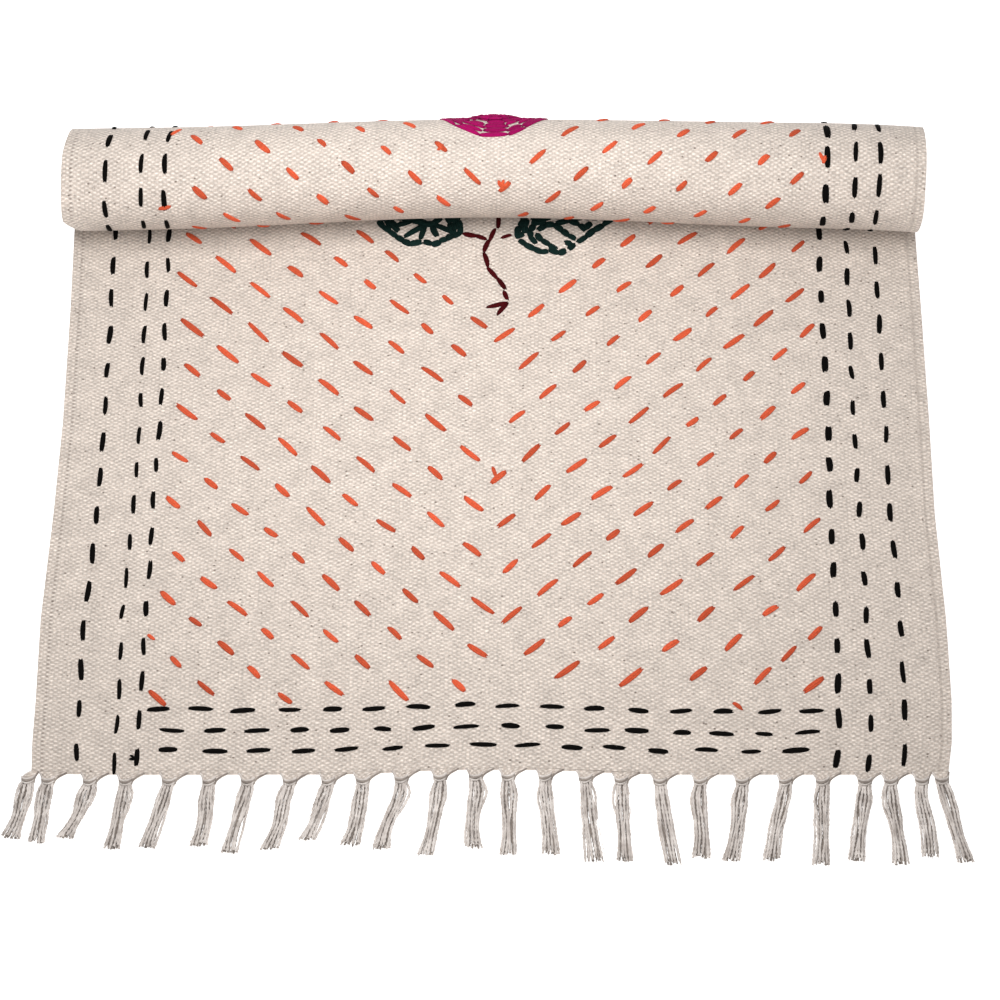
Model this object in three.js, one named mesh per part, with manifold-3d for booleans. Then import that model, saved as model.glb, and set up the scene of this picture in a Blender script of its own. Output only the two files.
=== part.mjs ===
import * as THREE from 'three';
import { mergeVertices } from 'three/addons/utils/BufferGeometryUtils.js';
import Module from 'manifold-3d';

const wasm = await Module();
wasm.setup();

// A handwoven cotton rug, face up on the floor, its far end rolled over onto the rest.
// Sizes are in millimetres. X runs across the rug, Y away from the fringed hem, Z up.

// Cloth as cut: two feet by three feet of thick plain weave.
const RUG_WIDTH = 600;
const RUG_LENGTH = 900;
const CLOTH_THICKNESS = 4;

// The flat part runs from the hem to the foot of the roll, and the hem bows away in the middle.
const FLAT_LENGTH = 438;
const HEM_BOW = 3;

// The roll is wound loosely and sags a little under its own weight. Its ends are wound more loosely
// than its middle, and come forward over the flat part.
const ROLL_RADIUS = 36.9;
const ROLL_SAG = 0.96;
const ROLL_FLARE = 2.4;
const ROLL_BOW = 10;
const ROLL_END_FROM_MIDDLE = 270;
const ROLL_CENTRE_Z = CLOTH_THICKNESS / 2 + ROLL_RADIUS * ROLL_SAG;
const TURN_GAP = 2.5;
const STEPS_PER_TURN = 20;

const STATIONS_ACROSS = 16;

// Where the two long edges lie at each distance from the hem: the cloth is a little waisted.
const FLAT_EDGES = [
  { at: 0, left: -299, right: 293.5 },
  { at: 20, left: -300, right: 297 },
  { at: 50, left: -300, right: 299 },
  { at: 110, left: -301, right: 299.5 },
  { at: 190, left: -298, right: 297.5 },
  { at: 260, left: -296.5, right: 298.5 },
  { at: 350, left: -297.5, right: 299 },
  { at: FLAT_LENGTH, left: -299.5, right: 299 },
];

// The same at each share of a turn from the foot of the roll: its ends are not quite square.
const ROLL_EDGES = [
  { at: 0, left: -299.5, right: 299 },
  { at: 0.25, left: -298, right: 300.5 },
  { at: 0.35, left: -297.5, right: 300.5 },
  { at: 0.5, left: -301, right: 299.5 },
  { at: 0.7, left: -301.5, right: 298.5 },
  { at: 0.85, left: -300, right: 297.5 },
  { at: 1, left: -299.5, right: 299 },
];

// Fringe, left to right: the knot's place across, how far the tip strays sideways from it,
// how far the strand ends lie from the hem, and the width of the ends as a share of the knot's.
const TASSELS = [
  { knot: -301, stray: -9, reach: 45, fan: 1.3 },
  { knot: -288, stray: -5, reach: 48, fan: 1.2 },
  { knot: -261, stray: -14, reach: 46, fan: 1.2 },
  { knot: -238, stray: -6, reach: 53, fan: 1.1 },
  { knot: -210, stray: -12, reach: 53, fan: 1.1 },
  { knot: -184, stray: -5, reach: 52, fan: 1.2 },
  { knot: -159, stray: -10, reach: 57, fan: 1.1 },
  { knot: -132, stray: -12, reach: 54, fan: 1.2 },
  { knot: -107, stray: -13, reach: 48, fan: 1.1 },
  { knot: -85, stray: -7, reach: 52, fan: 1.4 },
  { knot: -60, stray: -12, reach: 54, fan: 1.2 },
  { knot: -35, stray: -9, reach: 59, fan: 1.1 },
  { knot: -12, stray: -1, reach: 54, fan: 1.2 },
  { knot: 9, stray: 0, reach: 59, fan: 1.1 },
  { knot: 33, stray: 3, reach: 58, fan: 1.2 },
  { knot: 59, stray: 5, reach: 63, fan: 1.3 },
  { knot: 82, stray: 1, reach: 63, fan: 1.1 },
  { knot: 107, stray: 7, reach: 65, fan: 1.1 },
  { knot: 133, stray: -1, reach: 60, fan: 1.2 },
  { knot: 160, stray: -9, reach: 62, fan: 1.2 },
  { knot: 188, stray: -11, reach: 61, fan: 1.1 },
  { knot: 212, stray: -4, reach: 64, fan: 1.2 },
  { knot: 239, stray: -8, reach: 61, fan: 1.1 },
  { knot: 256, stray: 3, reach: 63, fan: 1.2 },
  { knot: 276, stray: 2, reach: 58, fan: 1.1 },
  { knot: 289, stray: 12, reach: 61, fan: 1.1 },
];

// A tassel head: warp ends gathered from the hem into one overhand knot, which pulls to one side.
const HEM_GAP = 0.3;
const GATHER_LEFT = 6;
const GATHER_RIGHT = 12;
const NECK_FROM_HEM = 3.6;
const KNOT_LEFT = 4.6;
const KNOT_RIGHT = 6;
const KNOT_FROM_HEM = 5.6;
const KNOT_HEIGHT = 6;
const HEAD_LENGTH = 8.4;
const HEAD_END_HALF_WIDTH = 4;
const HEAD_ROUNDING = 0.6;

// Loose strands below the knot: a lower row on the floor and an upper row lying over it.
const STRAND_SIZE = 1.55;
const STRAND_GAP = 0.3;
const STRAND_STEPS = 3;
const STRANDS = [
  { across: -3.7, layer: 0, short: 3 },
  { across: -1.85, layer: 0, short: 0 },
  { across: 0, layer: 0, short: 2 },
  { across: 1.85, layer: 0, short: 1 },
  { across: 3.7, layer: 0, short: 4 },
  { across: -2.2, layer: 1, short: 5 },
  { across: 0, layer: 1, short: 1 },
  { across: 2.2, layer: 1, short: 6 },
];

const CLOTH_COLOUR = '#e0d3c9';
const FRINGE_COLOUR = '#d6cbc1';

function bowAt(x) {
  const share = x / (RUG_WIDTH / 2);
  return share * share;
}

function flareAt(x) {
  const share = Math.min(Math.abs(x) / ROLL_END_FROM_MIDDLE, 1);
  return Math.sin((share * Math.PI) / 2) ** 2;
}

// Across the cloth from one edge to the other, at a place between two rows of an edge table.
function acrossAt(edges, at, share) {
  const found = edges.findIndex((row) => row.at > at);
  const after = found < 0 ? edges.length - 1 : found;
  const before = edges[after - 1];
  const along = THREE.MathUtils.inverseLerp(before.at, edges[after].at, at);
  const left = THREE.MathUtils.lerp(before.left, edges[after].left, along);
  const right = THREE.MathUtils.lerp(before.right, edges[after].right, along);
  return THREE.MathUtils.lerp(left, right, share);
}

// Middle line of the cloth's section: flat along the floor, then wound inwards turn by turn
// until the rest of the length is used up.
function middleLine() {
  const line = FLAT_EDGES.map((row) => new THREE.Vector2(row.at, CLOTH_THICKNESS / 2));
  const pitch = CLOTH_THICKNESS + TURN_GAP;
  let rest = RUG_LENGTH - FLAT_LENGTH;
  for (let step = 1; rest > 0; step += 1) {
    const angle = (step * 2 * Math.PI) / STEPS_PER_TURN;
    const radius = ROLL_RADIUS - (pitch * step) / STEPS_PER_TURN;
    const y = FLAT_LENGTH + radius * Math.sin(angle);
    const z = ROLL_CENTRE_Z - radius * ROLL_SAG * Math.cos(angle);
    const point = new THREE.Vector2(y, z);
    rest -= point.distanceTo(line[line.length - 1]);
    line.push(point);
  }
  return line;
}

// The cloth's two faces stand half its thickness to either side of the middle line.
function clothSection() {
  const line = middleLine();
  const under = [];
  const upper = [];
  line.forEach((point, i) => {
    const before = line[Math.max(i - 1, 0)];
    const after = line[Math.min(i + 1, line.length - 1)];
    const along = after.clone().sub(before).normalize();
    const side = new THREE.Vector2(-along.y, along.x).multiplyScalar(CLOTH_THICKNESS / 2);
    if (i < FLAT_EDGES.length) side.set(0, CLOTH_THICKNESS / 2);
    under.push(point.clone().sub(side));
    upper.push(point.clone().add(side));
  });
  return new THREE.Shape([...under, ...upper.reverse()]);
}

function closed(geometry) {
  geometry.deleteAttribute('normal');
  geometry.deleteAttribute('uv');
  return mergeVertices(geometry, 1e-4);
}

// A point of the flat part: drawn in to the waisted edges, and bowed between the hem and the roll.
function flatPoint(fromHem, height, share) {
  const x = acrossAt(FLAT_EDGES, fromHem, share);
  const bow = THREE.MathUtils.lerp(HEM_BOW * bowAt(x), ROLL_BOW * flareAt(x), fromHem / FLAT_LENGTH);
  return new THREE.Vector3(x, fromHem - bow, height);
}

// A point of the roll: every turn stands further from the roll's centre towards its ends.
function rollPoint(fromHem, height, share) {
  const back = fromHem - FLAT_LENGTH;
  const rise = (height - ROLL_CENTRE_Z) / ROLL_SAG;
  const turn = THREE.MathUtils.euclideanModulo(Math.atan2(back, -rise) / (2 * Math.PI), 1);
  const x = acrossAt(ROLL_EDGES, turn, share);
  const flare = flareAt(x);
  const grow = 1 + (ROLL_FLARE * flare) / Math.hypot(back, rise);
  const y = FLAT_LENGTH - ROLL_BOW * flare + back * grow;
  return new THREE.Vector3(x, y, ROLL_CENTRE_Z + (ROLL_FLARE * flare + rise * grow) * ROLL_SAG);
}

// The section is swept across the rug, and each point then moved to where the cloth lies.
function clothGeometry() {
  const sweep = { depth: 1, steps: STATIONS_ACROSS, bevelEnabled: false };
  const geometry = new THREE.ExtrudeGeometry(clothSection(), sweep);
  const place = geometry.getAttribute('position');
  for (let i = 0; i < place.count; i += 1) {
    const fromHem = place.getX(i);
    const height = place.getY(i);
    const onFlat = height <= CLOTH_THICKNESS + 0.01 && fromHem < FLAT_LENGTH;
    const point = onFlat ? flatPoint : rollPoint;
    place.setXYZ(i, ...point(fromHem, height, place.getZ(i)));
  }
  return closed(geometry);
}

// Plan of a tassel head, measured from its strands across and from the hem down:
// spread along the hem, drawn in at the neck, swelling round the knot.
function headPlan(left, right) {
  const plan = new THREE.Shape();
  plan.moveTo(left, -HEM_GAP);
  plan.quadraticCurveTo(-HEAD_END_HALF_WIDTH, -NECK_FROM_HEM / 3, -HEAD_END_HALF_WIDTH, -NECK_FROM_HEM);
  plan.quadraticCurveTo(-KNOT_LEFT * 1.2, -KNOT_FROM_HEM, -HEAD_END_HALF_WIDTH, -HEAD_LENGTH);
  plan.lineTo(HEAD_END_HALF_WIDTH, -HEAD_LENGTH);
  plan.quadraticCurveTo(KNOT_RIGHT * 1.1, -KNOT_FROM_HEM - 1, KNOT_RIGHT, -NECK_FROM_HEM);
  plan.quadraticCurveTo(KNOT_RIGHT, -NECK_FROM_HEM / 3, right, -HEM_GAP);
  plan.closePath();
  return plan;
}

// As thick as the cloth at the hem, highest at the knot, lower again where the strands come out.
function headHeight(fromHem) {
  if (fromHem < KNOT_FROM_HEM) {
    return THREE.MathUtils.lerp(CLOTH_THICKNESS, KNOT_HEIGHT, fromHem / KNOT_FROM_HEM);
  }
  const share = (fromHem - KNOT_FROM_HEM) / (HEAD_LENGTH - KNOT_FROM_HEM);
  return THREE.MathUtils.lerp(KNOT_HEIGHT, CLOTH_THICKNESS + 0.6, share);
}

function headGeometry(left, right) {
  const sweep = {
    depth: KNOT_HEIGHT - 2 * HEAD_ROUNDING,
    curveSegments: 3,
    bevelEnabled: true,
    bevelThickness: HEAD_ROUNDING,
    bevelSize: HEAD_ROUNDING,
    bevelOffset: -HEAD_ROUNDING,
    bevelSegments: 1,
  };
  const geometry = new THREE.ExtrudeGeometry(headPlan(left, right), sweep);
  geometry.translate(0, 0, HEAD_ROUNDING);
  const place = geometry.getAttribute('position');
  for (let i = 0; i < place.count; i += 1) {
    place.setZ(i, (place.getZ(i) * headHeight(-place.getY(i))) / KNOT_HEIGHT);
  }
  return closed(geometry);
}

// One strand: level all the way, from inside the knot to its own cut end.
function strandGeometry(tassel, strand) {
  const z = STRAND_SIZE / 2 + strand.layer * (STRAND_SIZE + STRAND_GAP);
  const endY = strand.short - tassel.reach;
  const endX = tassel.stray + strand.across * tassel.fan;
  const run = new THREE.QuadraticBezierCurve3(
    new THREE.Vector3(strand.across * 0.9, -KNOT_FROM_HEM, z),
    new THREE.Vector3(strand.across + tassel.stray * 0.25, -HEAD_LENGTH - tassel.reach * 0.25, z),
    new THREE.Vector3(endX, endY, z),
  );
  const half = STRAND_SIZE / 2;
  const corners = [[-half, -half], [half, -half], [half, half], [-half, half]];
  const section = new THREE.Shape(corners.map(([a, b]) => new THREE.Vector2(a, b)));
  const sweep = { steps: STRAND_STEPS, extrudePath: run, bevelEnabled: false };
  return closed(new THREE.ExtrudeGeometry(section, sweep));
}

function solid(geometry) {
  return new wasm.Manifold(new wasm.Mesh({
    numProp: 3,
    vertProperties: new Float32Array(geometry.getAttribute('position').array),
    triVerts: new Uint32Array(geometry.index.array),
  }));
}

function surface(body) {
  const mesh = body.getMesh();
  const geometry = new THREE.BufferGeometry();
  geometry.setAttribute('position', new THREE.BufferAttribute(mesh.vertProperties, 3));
  geometry.setIndex(new THREE.BufferAttribute(mesh.triVerts, 1));
  return geometry;
}

// The gather reaches either way along the hem, but not into the next tassel's or off the corner.
function gatherReach(order) {
  const here = TASSELS[order].knot;
  const next = TASSELS[order + 1];
  const rightLimit = next ? next.knot - GATHER_LEFT - 2 * HEM_GAP : FLAT_EDGES[0].right;
  return {
    left: Math.max(-GATHER_LEFT, FLAT_EDGES[0].left - here),
    right: Math.min(GATHER_RIGHT, rightLimit - here),
  };
}

// A whole tassel, set along the bowed hem.
function tasselGeometry(tassel, order) {
  const gather = gatherReach(order);
  let body = solid(headGeometry(gather.left, gather.right));
  STRANDS.forEach((strand) => {
    body = body.add(solid(strandGeometry(tassel, strand)));
  });
  const geometry = surface(body);
  geometry.translate(tassel.knot, 0, 0);
  const place = geometry.getAttribute('position');
  for (let i = 0; i < place.count; i += 1) {
    place.setY(i, place.getY(i) - HEM_BOW * bowAt(place.getX(i)));
  }
  return geometry;
}

const cotton = new THREE.MeshStandardMaterial({ color: CLOTH_COLOUR, roughness: 0.95, metalness: 0 });
const yarn = new THREE.MeshStandardMaterial({ color: FRINGE_COLOUR, roughness: 0.95, metalness: 0 });

function node(name, geometry, material) {
  const mesh = new THREE.Mesh(geometry, material);
  mesh.name = name;
  return mesh;
}

const rug = new THREE.Group();
rug.add(node('rug_cloth', clothGeometry(), cotton));
TASSELS.forEach((tassel, order) => {
  const name = `tassel_${String(order + 1).padStart(2, '0')}`;
  rug.add(node(name, tasselGeometry(tassel, order), yarn));
});

// The part's origin is on the floor, under the middle of everything.
const middle = new THREE.Box3().setFromObject(rug).getCenter(new THREE.Vector3());
rug.position.set(-middle.x, -middle.y, 0);

const part = new THREE.Group();
part.add(rug);

export default part;
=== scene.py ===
import bmesh
import bpy
import math
import random
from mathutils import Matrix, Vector, noise


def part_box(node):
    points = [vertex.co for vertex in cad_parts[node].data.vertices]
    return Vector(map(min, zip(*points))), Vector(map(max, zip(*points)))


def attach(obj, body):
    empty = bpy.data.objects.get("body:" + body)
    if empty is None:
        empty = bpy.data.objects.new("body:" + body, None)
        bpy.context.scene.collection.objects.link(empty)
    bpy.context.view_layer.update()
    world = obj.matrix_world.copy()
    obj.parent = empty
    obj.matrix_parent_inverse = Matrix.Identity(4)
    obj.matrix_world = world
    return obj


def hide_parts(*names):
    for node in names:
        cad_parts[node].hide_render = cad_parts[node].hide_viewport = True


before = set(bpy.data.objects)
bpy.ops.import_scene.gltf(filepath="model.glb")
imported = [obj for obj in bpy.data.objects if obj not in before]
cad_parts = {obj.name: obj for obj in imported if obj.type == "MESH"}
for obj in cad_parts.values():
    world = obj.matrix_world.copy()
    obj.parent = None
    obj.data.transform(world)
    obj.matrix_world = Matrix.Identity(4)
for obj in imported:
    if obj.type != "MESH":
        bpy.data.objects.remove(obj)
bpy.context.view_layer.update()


# Rug cloth: one length of thick undyed cotton, woven by hand in plain weave. It lies face up from the
# fringed hem to the foot of the roll, and the rest is wound over towards the hem, back outwards.
# It is 600 by 900 mm as cut, 4 mm thick, and its selvedges are bound by a double warp.
mm = 0.001
rug_width = 600 * mm
rug_length = 900 * mm
cloth_thickness = 4 * mm
flat_length = 438 * mm

# How far the solid reaches to the left of the rug's middle line, and out beyond the line of the hem.
left_reach = 301.5 * mm
hem_reach = 3 * mm
cloth_low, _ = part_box("rug_cloth")
middle_x = cloth_low.x + left_reach
hem_y = cloth_low.y + hem_reach

# Distance from the hem, then where the left and right edges lie, in millimetres from the middle line:
# the cloth is a little waisted.
flat_edges = [
    (0, -299, 293.5), (20, -300, 297), (50, -300, 299), (110, -301, 299.5),
    (190, -298, 297.5), (260, -296.5, 298.5), (350, -297.5, 299), (438, -299.5, 299),
]
# Share of a turn from the foot of the roll, then the edges again: the roll's ends are not quite square.
roll_edges = [
    (0, -299.5, 299), (0.25, -297.5, 300.5), (0.35, -296.5, 300), (0.42, -297.5, 299.5),
    (0.5, -299.6, 299), (0.6, -300, 297.8), (0.7, -301, 297.8), (0.85, -300.5, 296.5),
    (1, -299.5, 299),
]


def across_at(edges, at, across):
    """Where a warp end lies, from its place in the loom and a place between two rows of an edge table."""
    for low, high in zip(edges, edges[1:]):
        if at <= high[0]:
            break
    share = min(max((at - low[0]) / (high[0] - low[0]), 0), 1)
    left = low[1] + (high[1] - low[1]) * share
    right = low[2] + (high[2] - low[2]) * share
    return (left + (right - left) * (across / rug_width + 0.5)) * mm


hem_drop = 3.3 * mm
hem_drop_from = 15 * mm
hem_drop_over = 95 * mm
hem_lift = 1.3 * mm
hem_lift_from = 250 * mm
hem_lift_over = 50 * mm


def hem_line(x):
    """How far the hem lies out beyond its middle, where it is drawn up, as it is a little at its corners."""
    sides = math.sin(min(max(abs(x) - hem_drop_from, 0) / hem_drop_over, 1) * math.pi / 2) ** 2
    return hem_drop * sides - hem_lift * (max(abs(x) - hem_lift_from, 0) / hem_lift_over) ** 2


roll_radius = 36.9 * mm
turn_pitch = 6.5 * mm
roll_sag = 0.96
roll_slack = 0.5 * mm
roll_flare_left = 1.2 * mm
roll_flare_right = 2.4 * mm
roll_end_from_middle = 270 * mm


def looseness(x):
    """How far the roll is opened out, from its tight middle to its loose ends."""
    return math.sin(min(abs(x) / roll_end_from_middle, 1) * math.pi / 2) ** 2


roll_bow_left = 9.6 * mm
roll_bow_right = 8 * mm
roll_dip_left = 1 * mm
roll_dip_right = 3 * mm
roll_dip_from = 225 * mm
roll_dip_over = 75 * mm


def roll_bow(x):
    """How far the roll lies towards the hem: bowed from its middle out, and let down at its ends."""
    bow, dip = (roll_bow_left, roll_dip_left) if x < 0 else (roll_bow_right, roll_dip_right)
    return bow * looseness(x) + dip * (max(abs(x) - roll_dip_from, 0) / roll_dip_over) ** 2


# How deep the tuck is, how far from the middle line it starts and over what width it grows, and then where
# round the roll it starts and how far it goes on, in radians.
roll_tuck = 10 * mm
roll_tuck_from = 265 * mm
roll_tuck_over = 35 * mm
roll_tuck_start = 4.62
roll_tuck_arc = 1.36


def corner_tuck(x, turn):
    """How far the roll's left end is drawn in, low down in front where it meets the flat cloth."""
    reach = max(-x - roll_tuck_from, 0) / roll_tuck_over
    share = min(max((turn - roll_tuck_start) / roll_tuck_arc, 0), 1)
    return roll_tuck * reach**2 * math.sin(share * math.pi)


wide_ripple = 0.9 * mm
narrow_ripple = 0.35 * mm
ripple_fades_over = 40 * mm


def ripple(across, along):
    """The slight lift of a cloth that was rolled and laid down: broad waves, and creases about 50 mm long."""
    wide = noise.noise(Vector((across * 7, along * 7, 3.1)))
    narrow = noise.noise(Vector((across * 16 + along * 9, along * 20 - across * 6, 8.7)))
    return max(0.0, wide_ripple * (wide + 0.4) + narrow_ripple * narrow)


def lay(across, along, proud):
    """A point of the laid rug, from its place on the cut cloth and its height over the cloth's middle."""
    if along <= flat_length:
        x = across_at(flat_edges, along / mm, across)
        share = along / flat_length
        bow = hem_line(x) * (1 - share) ** 2 + roll_bow(x) * share
        lift = ripple(across, along) * min(1, max(0, (flat_length - along) / ripple_fades_over))
        return Vector((middle_x + x, hem_y + along - bow, cloth_thickness / 2 + proud + lift))
    wound = along - flat_length
    turn = 2 * math.pi / turn_pitch * (
        roll_radius - math.sqrt(max(roll_radius**2 - turn_pitch * wound / math.pi, 0))
    )
    x = across_at(roll_edges, turn / (2 * math.pi) % 1, across)
    x += corner_tuck(x, turn)
    slack = roll_slack * noise.noise(Vector((across * 5, turn * 0.8, 4.4))) * min(1, turn)
    outer = roll_radius + (roll_flare_left if x < 0 else roll_flare_right) * looseness(x)
    radius = outer - turn_pitch * turn / (2 * math.pi) + slack
    y = flat_length - roll_bow(x) + (radius - proud) * math.sin(turn)
    z = cloth_thickness / 2 + outer * roll_sag - (radius * roll_sag - proud) * math.cos(turn)
    return Vector((middle_x + x, hem_y + y, z))


# The cloth as a grid, closer towards the selvedges, that keeps its places on the cut cloth for the weave.
cloth_mesh = bmesh.new()
cut = cloth_mesh.loops.layers.uv.new("cut")
bmesh.ops.create_grid(cloth_mesh, x_segments=110, y_segments=270, size=1)
for vert in cloth_mesh.verts:
    vert.co.x = rug_width / 2 * math.sin(vert.co.x * math.pi / 2)
    vert.co.y = rug_length * (vert.co.y + 1) / 2
for face in cloth_mesh.faces:
    for corner in face.loops:
        corner[cut].uv = corner.vert.co.xy
for vert in cloth_mesh.verts:
    vert.co = lay(vert.co.x, vert.co.y, 0)
cloth_data = bpy.data.meshes.new("woven_cloth")
cloth_mesh.to_mesh(cloth_data)
cloth_mesh.free()
for face in cloth_data.polygons:
    face.use_smooth = True
cloth = bpy.data.objects.new("woven_cloth", cloth_data)
bpy.context.collection.objects.link(cloth)

# The thickness is measured over the nap, which is too soft to draw.
nap = 0.2 * mm
thicken = cloth.modifiers.new("thickness", "SOLIDIFY")
thicken.thickness = cloth_thickness - nap
thicken.offset = 0
round_edge = cloth.modifiers.new("rounded edge", "BEVEL")
round_edge.width = 1.2 * mm
round_edge.segments = 2
round_edge.profile = 0.5
round_edge.limit_method = "ANGLE"
round_edge.angle_limit = math.radians(60)


def linear(colour):
    """A hex sRGB colour as linear light."""
    parts = [int(colour[i:i + 2], 16) / 255 for i in (1, 3, 5)]
    return [*((c / 12.92 if c <= 0.04045 else ((c + 0.055) / 1.055) ** 2.4) for c in parts), 1]


def add_node(tree, kind, settings, inputs):
    """A node with its settings, and its sockets linked to others or set to values."""
    node = tree.nodes.new(kind)
    for name, value in settings.items():
        setattr(node, name, value)
    for socket, value in inputs.items():
        if isinstance(value, bpy.types.NodeSocket):
            tree.links.new(value, node.inputs[socket])
        else:
            node.inputs[socket].default_value = value
    return node


def new_material(name):
    """An empty node material, with its tree and shader."""
    material = bpy.data.materials.new(name)
    material.use_nodes = True
    return material, material.node_tree, material.node_tree.nodes["Principled BSDF"]


# Undyed handspun cotton in plain weave: matt, with pale rounded floats set like bricks, painted shade in the
# hollows between them, uneven weft, and flecks of seed husk. Warp ends stand 2.7 mm apart and picks 1.46 mm.
warp_spacing = 2.7 * mm
pick_spacing = 1.46 * mm
yarn_stray = 2.4 * mm
selvedge_inset = 6.5 * mm
# How many there are to a metre: places where the yarn strays, thick places in a pick, slubs, seed husks
# across and along, and fibres of the nap.
strays_per_metre = 70
thick_places_per_metre = 150
slubs_per_metre = 560
husks_across = 150
husks_along = 215
fibres_per_metre = 1400
warp_colour = linear("#c1b3a8")
weft_colour = linear("#e5dad0")
husk_colour = linear("#695c52")
# the painted shade of the groove along each selvedge
selvedge_groove_shade_colour = linear("#7d7067")
weave, tree, shader = new_material("undyed cotton plain weave")
place = add_node(tree, "ShaderNodeUVMap", {"uv_map": "cut"}, {})
axes = add_node(tree, "ShaderNodeSeparateXYZ", {}, {0: place.outputs[0]})
waver = add_node(tree, "ShaderNodeTexNoise", {},
                 {"Vector": place.outputs[0], "Scale": strays_per_metre, "Detail": 2})
stray = add_node(tree, "ShaderNodeMath", {"operation": "MULTIPLY_ADD"},
                 {0: waver.outputs[0], 1: yarn_stray, 2: -yarn_stray / 2})
across = add_node(tree, "ShaderNodeMath", {}, {0: axes.outputs[0], 1: stray.outputs[0]})
along = add_node(tree, "ShaderNodeMath", {}, {0: axes.outputs[1], 1: stray.outputs[0]})
warp_turn = add_node(tree, "ShaderNodeMath", {"operation": "MULTIPLY"},
                     {0: across.outputs[0], 1: math.pi / warp_spacing})
weft_turn = add_node(tree, "ShaderNodeMath", {"operation": "MULTIPLY"},
                     {0: along.outputs[0], 1: math.pi / pick_spacing})
warp_wave = add_node(tree, "ShaderNodeMath", {"operation": "SINE"}, {0: warp_turn.outputs[0]})
weft_wave = add_node(tree, "ShaderNodeMath", {"operation": "SINE"}, {0: weft_turn.outputs[0]})
crossing = add_node(tree, "ShaderNodeMath", {"operation": "MULTIPLY"},
                    {0: warp_wave.outputs[0], 1: weft_wave.outputs[0]})
depth = add_node(tree, "ShaderNodeMath", {"operation": "ABSOLUTE"}, {0: crossing.outputs[0]})
crown = add_node(tree, "ShaderNodeMath", {"operation": "POWER"}, {0: depth.outputs[0], 1: 0.5})
weft_over = add_node(tree, "ShaderNodeMapRange", {},
                     {"Value": crossing.outputs[0], "From Min": -0.6, "From Max": 0.9})
yarn_tone = add_node(tree, "ShaderNodeMix", {"data_type": "RGBA"},
                     {0: weft_over.outputs[0], 6: warp_colour, 7: weft_colour})
pick_place = add_node(tree, "ShaderNodeMapping", {},
                      {"Vector": place.outputs[0],
                       "Scale": (thick_places_per_metre, 1 / pick_spacing, 1)})
pick_tone = add_node(tree, "ShaderNodeTexNoise", {},
                     {"Vector": pick_place.outputs[0], "Scale": 1, "Detail": 3})
pick_shade = add_node(tree, "ShaderNodeMapRange", {},
                      {"Value": pick_tone.outputs[0], "From Min": 0.3, "From Max": 0.7,
                       "To Min": 0.84, "To Max": 1.08})
# Painted shade: the colour is darkened in the hollows between the floats.
hollow_shade = add_node(tree, "ShaderNodeMapRange", {},
                        {"Value": crown.outputs[0], "From Min": 0.05, "From Max": 0.6,
                         "To Min": 0.84, "To Max": 1})
slub = add_node(tree, "ShaderNodeTexNoise", {},
                {"Vector": place.outputs[0], "Scale": slubs_per_metre, "Detail": 2})
slub_shade = add_node(tree, "ShaderNodeMapRange", {},
                      {"Value": slub.outputs[0], "From Min": 0.3, "From Max": 0.7,
                       "To Min": 0.76, "To Max": 1.18})
pick_hollow = add_node(tree, "ShaderNodeMath", {"operation": "MULTIPLY"},
                       {0: pick_shade.outputs[0], 1: hollow_shade.outputs[0]})
mottle = add_node(tree, "ShaderNodeMapRange", {},
                  {"Value": waver.outputs[0], "From Min": 0.3, "From Max": 0.7,
                   "To Min": 0.92, "To Max": 1.08})
slub_mottle = add_node(tree, "ShaderNodeMath", {"operation": "MULTIPLY"},
                       {0: slub_shade.outputs[0], 1: mottle.outputs[0]})
shade = add_node(tree, "ShaderNodeMath", {"operation": "MULTIPLY"},
                 {0: pick_hollow.outputs[0], 1: slub_mottle.outputs[0]})
shaded = add_node(tree, "ShaderNodeMix", {"data_type": "RGBA", "blend_type": "MULTIPLY"},
                  {0: 1.0, 6: yarn_tone.outputs[2], 7: shade.outputs[0]})
fleck_place = add_node(tree, "ShaderNodeMapping", {},
                       {"Vector": place.outputs[0], "Scale": (husks_across, husks_along, 1)})
fleck_spread = add_node(tree, "ShaderNodeTexVoronoi", {},
                        {"Vector": fleck_place.outputs[0], "Scale": 1})
fleck_spot = add_node(tree, "ShaderNodeMapRange", {},
                      {"Value": fleck_spread.outputs[0], "From Min": 0.07, "From Max": 0.16,
                       "To Min": 1, "To Max": 0})
fleck_pick = add_node(tree, "ShaderNodeSeparateColor", {}, {0: fleck_spread.outputs[1]})
fleck_some = add_node(tree, "ShaderNodeMapRange", {},
                      {"Value": fleck_pick.outputs[0], "From Min": 0.25, "From Max": 0.7,
                       "To Min": 0, "To Max": 0.95})
fleck = add_node(tree, "ShaderNodeMath", {"operation": "MULTIPLY"},
                 {0: fleck_spot.outputs[0], 1: fleck_some.outputs[0]})
flecked = add_node(tree, "ShaderNodeMix", {"data_type": "RGBA"},
                   {0: fleck.outputs[0], 6: shaded.outputs[2], 7: husk_colour})
# Painted shade: a dotted dark line in the groove by the double warp, 6.5 mm in from each selvedge; the same
# mask also sinks the bump there.
edge_reach = add_node(tree, "ShaderNodeMath", {"operation": "ABSOLUTE"}, {0: axes.outputs[0]})
edge_off = add_node(tree, "ShaderNodeMath", {"operation": "SUBTRACT"},
                    {0: edge_reach.outputs[0], 1: rug_width / 2 - selvedge_inset})
edge_gap = add_node(tree, "ShaderNodeMath", {"operation": "ABSOLUTE"}, {0: edge_off.outputs[0]})
edge_line = add_node(tree, "ShaderNodeMapRange", {},
                     {"Value": edge_gap.outputs[0], "From Min": 0.4 * mm, "From Max": 1.3 * mm,
                      "To Min": 1, "To Max": 0})
edge_dash = add_node(tree, "ShaderNodeMapRange", {},
                     {"Value": weft_wave.outputs[0], "From Min": 0, "From Max": 0.9,
                      "To Min": 0.06, "To Max": 0.6})
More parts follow.
